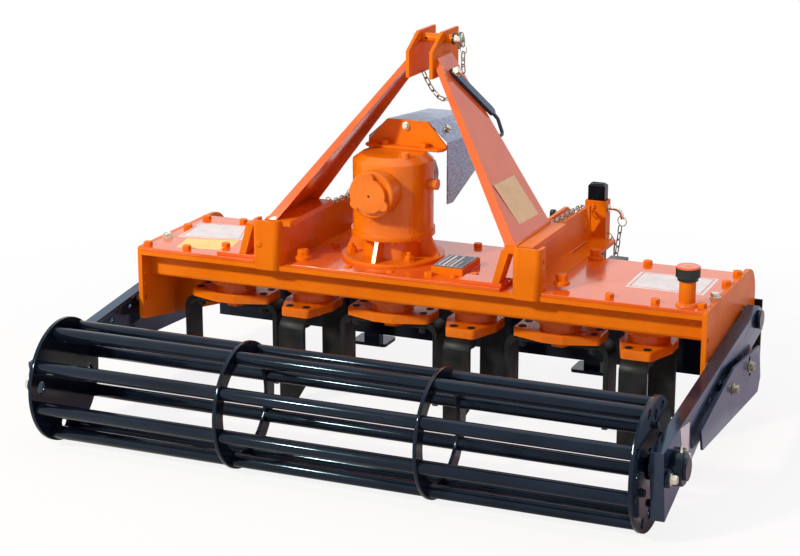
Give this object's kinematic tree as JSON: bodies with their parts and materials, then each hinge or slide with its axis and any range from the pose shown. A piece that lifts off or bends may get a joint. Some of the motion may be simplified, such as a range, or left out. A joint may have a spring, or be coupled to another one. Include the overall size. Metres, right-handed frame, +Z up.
{
  "type": "power harrow with cage roller",
  "caption": "Tractor-mounted power harrow: row of vertical tine rotors under a gear case, bevel gearbox, three-point hitch frame, side deflectors and a cage roller behind.",
  "frame": {"origin": "on the ground, under the middle of the machine", "axes": "+Y forward in the direction of travel, +X to the right seen from behind, +Z up"},
  "size_m": [1.426, 1.0332, 0.819],
  "materials": {
    "orange_paint": "gloss orange enamel",
    "black_paint": "gloss black enamel",
    "galvanised_sheet": "galvanised",
    "bright_steel": "machined, oiled",
    "zinc_plate": "zinc plated",
    "tine_steel": "dark forged steel",
    "black_plastic": "satin"
  },
  "bodies": {
    "frame": {"gear_case": "orange_paint", "cover_plates": "orange_paint", "cover_pads": "orange_paint", "end_plates": "orange_paint", "rotor_housings": "orange_paint", "gearbox_neck": "orange_paint", "gearbox_body": "orange_paint", "gearbox_rear_cap": "orange_paint", "guard_bracket": "orange_paint", "hitch_beam_left": "orange_paint", "hitch_beam_right": "orange_paint", "post_gussets": "orange_paint", "mast_strut_left": "orange_paint", "mast_strut_right": "orange_paint", "top_link_plates": "orange_paint", "stand_sleeves": "orange_paint", "filler_tube": "orange_paint", "label_block": "orange_paint", "shaft_holder": "black_paint", "levelling_board": "black_paint", "board_straps": "black_paint", "arm_pivots": "black_paint", "top_link_pin": "zinc_plate", "lower_link_pins": "zinc_plate", "stand_pins": "zinc_plate", "guard_hood": "galvanised_sheet", "filler_cap": "black_plastic"},
    "input_drive": {"input_shaft": "bright_steel"},
    "roller_frame": {"roller_arm_left": "black_paint", "roller_arm_right": "black_paint", "roller_bearings": "black_paint", "side_deflectors": "black_paint"},
    "cage_roller": {"roller_discs": "black_paint", "roller_rings": "black_paint", "roller_bars": "black_paint"},
    "stand_left": {"parking_stand_left": "black_paint"},
    "stand_right": {"parking_stand_right": "black_paint"},
    "rotor_1": {"tine_holder_1": "orange_paint", "tines_1": "tine_steel"},
    "rotor_2": {"tine_holder_2": "orange_paint", "tines_2": "tine_steel"},
    "rotor_3": {"tine_holder_3": "orange_paint", "tines_3": "tine_steel"},
    "rotor_4": {"tine_holder_4": "orange_paint", "tines_4": "tine_steel"},
    "rotor_5": {"tine_holder_5": "orange_paint", "tines_5": "tine_steel"},
    "rotor_6": {"tine_holder_6": "orange_paint", "tines_6": "tine_steel"}
  },
  "joints": [
    {"name": "input_turn", "type": "hinge", "parent": "frame", "child": "input_drive", "pos_m": [-0.0975, 0.10959, 0.495], "axis": [0, 1, 0], "continuous": true},
    {"name": "arm_lift", "type": "hinge", "parent": "frame", "child": "roller_frame", "pos_m": [0, 0.25959, 0.238], "axis": [-1, 0, 0], "range_deg": [0, 12]},
    {"name": "roller_turn", "type": "hinge", "parent": "roller_frame", "child": "cage_roller", "pos_m": [0, -0.38559, 0.131], "axis": [1, 0, 0], "continuous": true},
    {"name": "stand_left_lift", "type": "slide", "parent": "frame", "child": "stand_left", "axis": [0, 0, 1], "range_m": [0, 0.2]},
    {"name": "stand_right_lift", "type": "slide", "parent": "frame", "child": "stand_right", "axis": [0, 0, 1], "range_m": [0, 0.2]},
    {"name": "rotor_1_turn", "type": "hinge", "parent": "frame", "child": "rotor_1", "pos_m": [-0.4875, 0.10959, 0.195], "axis": [0, 0, 1], "continuous": true},
    {"name": "rotor_2_turn", "type": "hinge", "parent": "frame", "child": "rotor_2", "pos_m": [-0.2925, 0.10959, 0.195], "axis": [0, 0, 1], "continuous": true},
    {"name": "rotor_3_turn", "type": "hinge", "parent": "frame", "child": "rotor_3", "pos_m": [-0.0975, 0.10959, 0.195], "axis": [0, 0, 1], "continuous": true},
    {"name": "rotor_4_turn", "type": "hinge", "parent": "frame", "child": "rotor_4", "pos_m": [0.0975, 0.10959, 0.195], "axis": [0, 0, 1], "continuous": true},
    {"name": "rotor_5_turn", "type": "hinge", "parent": "frame", "child": "rotor_5", "pos_m": [0.2925, 0.10959, 0.195], "axis": [0, 0, 1], "continuous": true},
    {"name": "rotor_6_turn", "type": "hinge", "parent": "frame", "child": "rotor_6", "pos_m": [0.4875, 0.10959, 0.195], "axis": [0, 0, 1], "continuous": true}
  ],
  "couplings": [
    {"joint": "input_turn", "follows": "rotor_3_turn", "ratio": 1.8},
    {"joint": "rotor_1_turn", "follows": "rotor_3_turn", "ratio": 1},
    {"joint": "rotor_2_turn", "follows": "rotor_3_turn", "ratio": -1},
    {"joint": "rotor_4_turn", "follows": "rotor_3_turn", "ratio": -1},
    {"joint": "rotor_5_turn", "follows": "rotor_3_turn", "ratio": 1},
    {"joint": "rotor_6_turn", "follows": "rotor_3_turn", "ratio": -1}
  ]
}
